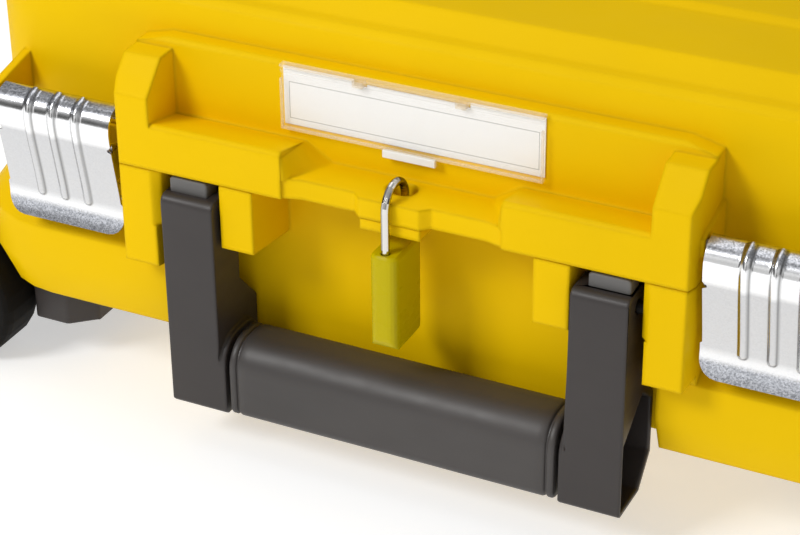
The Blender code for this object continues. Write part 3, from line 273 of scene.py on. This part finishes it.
yellow = moulded("yellow_moulding", (0.82, 0.520, 0.0), 0.46, 0.58, grain=1300.0, wave=0.00005, contrast=0.03,
                 specular=0.06, rolled=0.0032)
black = moulded("black_moulding", (0.035, 0.029, 0.027), 0.34, 0.46, contrast=0.10, specular=0.40)
soft_black = moulded("black_soft_grip", (0.050, 0.044, 0.041), 0.42, 0.54, grain=2200.0, depth=0.00005,
                     contrast=0.12, rolled=None)
tyre_rubber = moulded("tyre_rubber", (0.006, 0.005, 0.004), 0.62, 0.78, grain=900.0, depth=0.0001, contrast=0.2,
                      specular=0.14)
grey = moulded("grey_moulding", (0.13, 0.125, 0.12), 0.42, 0.55)
lime = moulded("lime_coat", (0.50, 0.40, 0.0), 0.24, 0.34, grain=900.0, depth=0.00001, wave=0.00003,
               specular=0.12, rolled=0.0012)
zinc_plate = zinc("zinc_plate")
drawn_steel = metal("drawn_steel", (0.60, 0.60, 0.61), 0.24, 0.42, (0.03, 1.0, 1.0))
blackened_steel = metal("blackened_steel", (0.030, 0.027, 0.025), 0.35, 0.50, (0.03, 1.0, 1.0))
chrome = metal("chrome", (0.86, 0.86, 0.87), 0.03, 0.10, None, 0.000004)
# The shackle's bright middle and dark sides are a painted reflection.
shackle_painted_reflection = polished_painted_reflection("shackle_painted_reflection", (0.72, 0.70, 0.66), (0.07, 0.055, 0.03))
brass = metal("turned_brass", (0.78, 0.58, 0.24), 0.22, 0.36, (1.0, 1.0, 0.05))
clear_plastic = clear("clear_plastic", (0.98, 0.96, 0.92), 0.07)
clear_edge = clear("clear_edge", (0.92, 0.78, 0.56), 0.30)
clear_tab = clear("clear_tab", (0.95, 0.95, 0.93), 0.86)

FINISH = {
    "yellow_plastic": yellow,
    "black_plastic": black,
    "black_rubber": soft_black,
    "grey_plastic": grey,
    "zinc_plated_steel": zinc_plate,
    "steel": drawn_steel,
    "chrome": chrome,
    "lime_padlock": lime,
    "brass": brass,
    "clear_plastic": clear_plastic,
    "paper": card("label_card", *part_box("label_card")),
}
SLOT_OF = {part["node"]: part["material_slot"] for part in frame["record"]["subparts"]}
SPECIAL = {
    "tyre_front": tyre_rubber, "tyre_rear": tyre_rubber,
    "padlock_shackle": shackle_painted_reflection,
    "handle_pin_left": blackened_steel, "handle_pin_right": blackened_steel,
    "label_strip": clear_edge,
}
for node_name, obj in nodes.items():
    obj.data.materials.clear()
    obj.data.materials.append(SPECIAL.get(node_name, FINISH[SLOT_OF[node_name]]))


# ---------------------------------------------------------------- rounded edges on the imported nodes
def round_edges(obj, width, segments=2, angle=24):
    """Joins the flat facets into whole faces and rolls the edges between them."""
    weld = obj.modifiers.new("join", "WELD")
    weld.merge_threshold = 0.00002
    flat = obj.modifiers.new("flats", "DECIMATE")
    flat.decimate_type = "DISSOLVE"
    flat.angle_limit = math.radians(0.4)
    bevel = obj.modifiers.new("rolled_edges", "BEVEL")
    bevel.width = width
    bevel.segments = segments
    bevel.limit_method = "ANGLE"
    bevel.angle_limit = math.radians(angle)
    bevel.use_clamp_overlap = False
    bevel.harden_normals = False
    obj.data.shade_smooth()
    normals = obj.modifiers.new("face_normals", "WEIGHTED_NORMAL")
    normals.keep_sharp = False
    normals.weight = 80


def smooth_by_angle(obj, angle=32):
    """Smooth shading over the round corners, with the real edges left to the material's rolled normal."""
    weld = obj.modifiers.new("join", "WELD")
    weld.merge_threshold = 0.00002
    split = obj.modifiers.new("real_edges", "EDGE_SPLIT")
    split.split_angle = math.radians(angle)
    obj.data.shade_smooth()


for node_name in ("base_shell", "lid_shell"):
    smooth_by_angle(nodes[node_name])

ROUNDING = {
    "wheel_carrier": 0.0015, "skid_carrier": 0.0015,
    "handle_arm_left": 0.0009, "handle_arm_right": 0.0009,
    "handle_lug_left": 0.0010, "handle_lug_right": 0.0010,
    "foot_pad_front": 0.0010, "foot_pad_rear": 0.0010,
    "pull_grip": 0.0030, "tray": 0.0008, "tray_handle": 0.0004,
}
for node_name, width in ROUNDING.items():
    round_edges(nodes[node_name], width)


# ---------------------------------------------------------------- mesh helpers
def smooth_path(points, step):
    """A Catmull-Rom curve through the points, sampled about every step metres."""
    padded = [points[0], *points, points[-1]]
    path = []
    for k in range(1, len(padded) - 2):
        p0, p1, p2, p3 = (Vector(padded[k + i]) for i in (-1, 0, 1, 2))
        count = max(1, round((p2 - p1).length / step))
        for i in range(count):
            t = i / count
            path.append(0.5 * ((2 * p1) + (p2 - p0) * t + (2 * p0 - 5 * p1 + 4 * p2 - p3) * t * t
                               + (3 * p1 - p0 - 3 * p2 + p3) * t ** 3))
    path.append(Vector(points[-1]))
    return path


def finish_piece(name, bm, material, body, slot, *stands_for, angle=40):
    bmesh.ops.recalc_face_normals(bm, faces=bm.faces)
    mesh = bpy.data.meshes.new(name)
    bm.to_mesh(mesh)
    bm.free()
    mesh.shade_smooth()
    mesh.set_sharp_from_angle(angle=math.radians(angle))
    mesh.materials.append(material)
    piece = bpy.data.objects.new(name, mesh)
    bpy.context.scene.collection.objects.link(piece)
    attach(piece, body)
    if stands_for:
        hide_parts(*stands_for)
    return piece


def bridge(bm, rows, closed_ring=True):
    """Faces between neighbouring rows of vertices."""
    count = len(rows[0])
    last = count if closed_ring else count - 1
    for near, far in zip(rows, rows[1:]):
        for i in range(last):
            j = (i + 1) % count
            bm.faces.new((near[i], near[j], far[j], far[i]))


# ---------------------------------------------------------------- latch levers with pressed ribs
PLATE = 0.0013  # thickness of the pressed sheet
RIB_PITCH, RIB_HALF, RIB_HEIGHT = 0.0135, 0.0028, 0.0017
RIB_END_Z = 0.1180
LIP_Z, LIP_ROUND = 0.1056, 0.0090
LEVER_HALF, LIP_HALF = 0.0324, 0.0334
LAST_COLUMN = 0.0337  # columns are laid out to here, then drawn in to the lever's outline
PIN_Y, PIN_Z, ROLL_RADIUS = -0.1845, 0.1702, 0.0050
BEHIND_Y = -0.1850  # the sheet further back than this is behind the pin


def lever_path():
    """Side view of the lever's outer face, from the lip up over the roll and down behind the pin."""
    face = [(-0.1905, LIP_Z), (-0.1890, 0.1110), (-0.1884, 0.1165), (-0.1886, 0.1215), (-0.1896, 0.1290),
            (-0.1915, 0.1400), (-0.1936, 0.1520), (-0.1949, 0.1615), (-0.1947, 0.1665), (-0.1930, 0.1706),
            (-0.1900, 0.1735)]
    roll = [(PIN_Y + ROLL_RADIUS * math.cos(a), PIN_Z + ROLL_RADIUS * math.sin(a))
            for a in (math.radians(d) for d in (105, 80, 50, 20, -10, -40, -60))]
    return [Vector((y, z)) for y, z in smooth_path(face + roll, 0.0009)]


def rib_place(x, z):
    """The side of the nearest rib that a place is on, and its distance from the middle line of that rib."""
    across = min((x - k * RIB_PITCH for k in (-1, 0, 1)), key=abs)
    below = max(0.0, RIB_END_Z + RIB_HALF - z)
    return across, math.hypot(across, below)


def rib_height(x, z, behind):
    """How far the sheet is pressed out at a place, with x counted from the lever's middle."""
    away = rib_place(x, z)[1]
    return 0.0 if behind else RIB_HEIGHT * max(0.0, 1 - (away / RIB_HALF) ** 2) ** 1.2


def painted_rib_shade_of(x, z, behind):
    """How much painted shade a place gets along the foot of a rib, from 0 to 1."""
    if behind:
        return 0.0
    across, away = rib_place(x, z)
    rim = math.exp(-((away - 0.0021) / 0.00050) ** 2)
    # The painted shade is full on one side of each rib and round its end, weaker on the other side.
    return rim * (1.0 if across > 0 or z < RIB_END_Z + 0.0015 else 0.55)


def painted_reflection_tone_of(z, behind):
    """Painted reflection: how bright the plate is painted, whitest under the roll and above the lip, greyer
    between.
    """
    if behind:
        return 0.3
    upper = min(1.0, max(0.0, (z - 0.1545) / 0.0030))
    lower = 0.8 * min(1.0, max(0.0, (0.1225 - z) / 0.0050))
    return max(upper, lower, 0.12 + 0.10 * (0.1545 - z) / 0.04)


def dull_and_painted_dark_of(z, behind):
    """Painted dark reflection bands over the roll and along the lip, where the plate is also matte and
    spangled.
    """
    if behind:
        return 0.3
    over_roll = min(1.0, max(0.0, (z - 0.1690) / 0.0030))
    along_lip = min(1.0, max(0.0, (0.1155 - z) / 0.0025))
    return max(over_roll, along_lip)


def edge_of(z):
    """Half width of the lever at one height: round lower corners, a small notch and a slightly wider lip."""
    half = LIP_HALF if z < 0.1230 else LEVER_HALF
    if z < LIP_Z + LIP_ROUND:
        drop = LIP_ROUND - (z - LIP_Z)
        half -= LIP_ROUND - math.sqrt(max(LIP_ROUND ** 2 - drop ** 2, 0.0))
    notch = 1 - ((z - 0.1545) / 0.0014) ** 2
    return half - (0.0022 * math.sqrt(notch) if notch > 0 else 0.0)


def lever_columns():
    """Places across the lever: close together over the ribs, wider apart towards the sides."""
    fine = RIB_PITCH + RIB_HALF + 0.0009
    inner = [-fine + 2 * fine * i / 52 for i in range(53)]
    outer = [fine + (LAST_COLUMN - fine) * i / 10 for i in range(1, 11)]
    return [-x for x in reversed(outer)] + inner + outer


def make_lever(side):
    """One pressed lever: a bent sheet with ribs and thickness, and the two flanges that hold the bail."""
    node = f"latch_{side}_lever"
    low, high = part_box(node)
    middle = (low.x + high.x) / 2
    bm = bmesh.new()
    painted_rib_shade_layer = bm.verts.layers.float.new("painted_rib_shade")
    dull_and_painted_dark_layer = bm.verts.layers.float.new("dull_and_painted_dark")
    painted_reflection_tone_layer = bm.verts.layers.float.new("painted_reflection_tone")
    path, columns = lever_path(), lever_columns()
    solid_part = LAST_COLUMN - LIP_ROUND
    sheets = []
    for depth in (0.0, PLATE):
        rows = []
        for k, point in enumerate(path):
            along = (path[min(k + 1, len(path) - 1)] - path[max(k - 1, 0)]).normalized()
            out = Vector((-along.y, along.x))
            behind = point.x > BEHIND_Y
            half = LEVER_HALF if behind else edge_of(point.y)
            row = []
            for x in columns:
                far = abs(x)
                if far > solid_part:
                    far = solid_part + (far - solid_part) * (half - solid_part) / LIP_ROUND
                rise = rib_height(x, point.y, behind) - depth
                at = point + out * rise
                vert = bm.verts.new((middle + math.copysign(far, x), at.x, at.y))
                # Vertex values for the painted rib shade, the spangle with its painted dark bands, and the
                # painted reflection tone.
                vert[painted_rib_shade_layer] = painted_rib_shade_of(x, point.y, behind)
                vert[dull_and_painted_dark_layer] = dull_and_painted_dark_of(point.y, behind)
                vert[painted_reflection_tone_layer] = painted_reflection_tone_of(point.y, behind)
                row.append(vert)
            rows.append(row)
        sheets.append(rows)
        bridge(bm, rows, closed_ring=False)
    front, rear = sheets
    rim = ([front[0], rear[0]], [front[-1], rear[-1]], [[r[0] for r in front], [r[0] for r in rear]],
           [[r[-1] for r in front], [r[-1] for r in rear]])
    for pair in rim:
        bridge(bm, pair, closed_ring=False)
    for x in (middle - 0.0322, middle + 0.0308):
        flange = [(-0.1925, 0.1580), (-0.1908, 0.1455), (-0.1893, 0.1370), (-0.1765, 0.1425), (-0.1748, 0.1480),
                  (-0.1765, 0.1525)]
        rings = [[bm.verts.new((x + step, y, z)) for y, z in flange] for step in (0.0, 0.0014)]
        bridge(bm, rings)
        for ring in rings:
            bm.faces.new(ring)
    finish_piece(f"lever_{side}_pressed", bm, zinc_plate, f"latch_{side}", "zinc_plated_steel", node)


for side in ("left", "right"):
    make_lever(side)


# ---------------------------------------------------------------- label card and window frame
def bar_piece(bm, low, high, roll):
    """A small straight bar with its long edges rolled, added to a mesh."""
    (x0, y0, z0), (x1, y1, z1) = low, high
    outline = [(y0, z0 + roll), (y0, z1 - roll), (y0 + roll, z1), (y1, z1), (y1, z0), (y0 + roll, z0)]
    rings = [[bm.verts.new((x, y, z)) for y, z in outline] for x in (x0, x1)]
    bridge(bm, rings)
    for ring in rings:
        bm.faces.new(ring)


def make_label_card():
    """The card out to the frame of its window, cut away at the two hinge lugs."""
    low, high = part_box("label_card")
    half, top, lug_in, lug_out, lug_z = 0.0662, 0.2072, 0.0226, 0.0294, 0.2045
    right = [(half, low.z), (half, top), (lug_out, top), (lug_out, lug_z), (lug_in, lug_z), (lug_in, 0.2056)]
    outline = right + [(-x, z) for x, z in reversed(right)]
    bm = bmesh.new()
    rings = [[bm.verts.new((x, y, z)) for x, z in outline] for y in (low.y, high.y)]
    bridge(bm, rings)
    for ring in rings:
        bm.faces.new(ring)
    finish_piece("card_to_frame", bm, FINISH["paper"], "lid", "paper", "label_card", angle=30)


def make_label_rim():
    """The frame round three sides of the clear window, and the tab that lifts it."""
    low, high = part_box("label_window")
    front, thick = low.y, 0.0009
    bottom, top = low.z + 0.0040, high.z - 0.0054
    bm = bmesh.new()
    proud, back, roll = front - 0.0002, front + 0.0012, 0.0002
    left, right = low.x + thick, high.x - thick
    bar_piece(bm, (low.x, proud, bottom), (left, back, top), roll)
    bar_piece(bm, (right, proud, bottom), (high.x, back, top), roll)
    bar_piece(bm, (left, proud, bottom), (right, back, bottom + 0.0013), roll)
    finish_piece("window_rim", bm, clear_edge, "window", "clear_plastic")
    bm = bmesh.new()
    bar_piece(bm, (-0.0133, front - 0.0006, low.z + 0.0002), (0.0133, front + 0.0011, low.z + 0.0042), 0.0004)
    finish_piece("window_tab", bm, clear_tab, "window", "clear_plastic")


make_label_card()
make_label_rim()


# ---------------------------------------------------------------- grip with its end rings
def grip_outline(inset, low, high, steps=10):
    """The grip in side view: wide rounds on top and small ones below."""
    points = []
    top_round, bottom_round = 0.0150, 0.0060
    corners = ((high.y, high.z, top_round, 0), (low.y, high.z, top_round, 90),
               (low.y, low.z, bottom_round, 180), (high.y, low.z, bottom_round, 270))
    for y, z, radius, start in corners:
        centre_y = y - radius if start in (0, 270) else y + radius
        centre_z = z - radius if start in (0, 90) else z + radius
        size = radius - inset
        for i in range(steps + 1):
            a = math.radians(start + 90 * i / steps)
            points.append((centre_y + size * math.cos(a), centre_z + size * math.sin(a)))
    return points


def make_grip():
    """The soft grip, with a raised ring and a groove near each end."""
    low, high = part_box("handle_grip")
    end = high.x
    half_stations = [(0.0, 0.0060), (0.0, 0.0014), (0.0004, 0.0006), (0.0012, 0.0001), (0.0030, 0.0001),
                     (0.0036, 0.0005), (0.0040, 0.0013), (0.0046, 0.0013), (0.0050, 0.0005), (0.0060, 0.0),
                     (0.0100, 0.0)]
    stations = [(-end + x, inset) for x, inset in half_stations]
    stations += [(-0.045, 0.0), (0.0, 0.0001), (0.045, 0.0)]
    stations += [(end - x, inset) for x, inset in reversed(half_stations)]
    bm = bmesh.new()
    rows = [[bm.verts.new((x, y, z)) for y, z in grip_outline(inset, low, high)] for x, inset in stations]
    bridge(bm, rows)
    for ring in (rows[0], rows[-1]):
        bm.faces.new(ring)
    finish_piece("grip_with_rings", bm, soft_black, "carry_handle", "black_rubber", "handle_grip", angle=60)


make_grip()


# ---------------------------------------------------------------- room, lights, camera
def make_floor():
    bm = bmesh.new()
    size = 6.0
    corners = ((-size, -size), (size, -size), (size, size), (-size, size))
    bm.faces.new([bm.verts.new((x, y, -0.0002)) for x, y in corners])
    mesh = bpy.data.meshes.new("floor")
    bm.to_mesh(mesh)
    bm.free()
    floor = bpy.data.objects.new("floor", mesh)
    bpy.context.scene.collection.objects.link(floor)
    n = Nodes("floor_paper")
    n.link(n.ramp(n.noise(1.5, 2.0), [(0.3, (0.66, 0.67, 0.68)), (0.7, (0.68, 0.69, 0.70))]),
           n.shader.inputs["Base Color"])
    n.link(n.map_range(n.noise(40.0, 2.0), 0.85, 0.95), n.shader.inputs["Roughness"])
    n.shader.inputs["Emission Color"].default_value = (1.0, 1.0, 1.0, 1.0)
    n.shader.inputs["Emission Strength"].default_value = 0.50
    mesh.materials.append(n.material)


def area_light(name, place, target, size, power):
    data = bpy.data.lights.new(name, "AREA")
    data.energy = power
    data.size = size
    light = bpy.data.objects.new(name, data)
    light.location = place
    light.rotation_euler = (Vector(target) - Vector(place)).to_track_quat("-Z", "Y").to_euler()
    bpy.context.scene.collection.objects.link(light)


def make_world():
    """A grey studio that is darker in a band a little above the horizon."""
    world = bpy.data.worlds.new("studio")
    world.use_nodes = True
    sky = world.node_tree
    height = sky.nodes.new("ShaderNodeSeparateXYZ")
    sky.links.new(sky.nodes.new("ShaderNodeTexCoord").outputs["Generated"], height.inputs["Vector"])
    upward = sky.nodes.new("ShaderNodeMapRange")
    upward.inputs["From Min"].default_value = -1.0
    sky.links.new(height.outputs["Z"], upward.inputs["Value"])
    bands = sky.nodes.new("ShaderNodeValToRGB")
    stops = ((0.0, 0.45), (0.47, 0.45), (0.51, 0.10), (0.60, 0.10), (0.70, 0.42), (1.0, 0.50))
    while len(bands.color_ramp.elements) < len(stops):
        bands.color_ramp.elements.new(0.5)
    for element, (place, value) in zip(bands.color_ramp.elements, stops):
        element.position = place
        element.color = (value, value, value, 1.0)
    sky.links.new(upward.outputs["Result"], bands.inputs["Fac"])
    sky.links.new(bands.outputs["Color"], sky.nodes["Background"].inputs["Color"])
    sky.nodes["Background"].inputs["Strength"].default_value = 0.85
    bpy.context.scene.world = world


def make_camera():
    """A close three-quarter view of the front from above, as the object is usually pictured."""
    data = bpy.data.cameras.new("camera")
    data.lens = 104.5
    data.sensor_width = 36.0
    camera = bpy.data.objects.new("camera", data)
    right, up, back = (0.8995, 0.4367, -0.0086), (-0.2112, 0.4521, 0.8666), (0.3824, -0.7777, 0.4989)
    turn = Matrix((right, up, back)).transposed().to_quaternion().to_matrix()
    camera.matrix_world = Matrix.Translation((0.4153, -1.0292, 0.6638)) @ turn.to_4x4()
    bpy.context.scene.collection.objects.link(camera)
    bpy.context.scene.camera = camera


make_floor()
area_light("key", (-1.0, -1.7, 1.7), (0, -0.1, 0.15), 0.7, 30)
area_light("fill", (1.6, -1.8, 0.9), (0, -0.1, 0.15), 1.6, 3)
area_light("low_fill", (-0.3, -2.2, 0.5), (0, -0.1, 0.1), 1.4, 3)
area_light("top", (-0.3, 0.2, 2.2), (0, 0, 0.15), 1.5, 9)
make_world()
make_camera()
bpy.context.scene.view_settings.view_transform = "Standard"
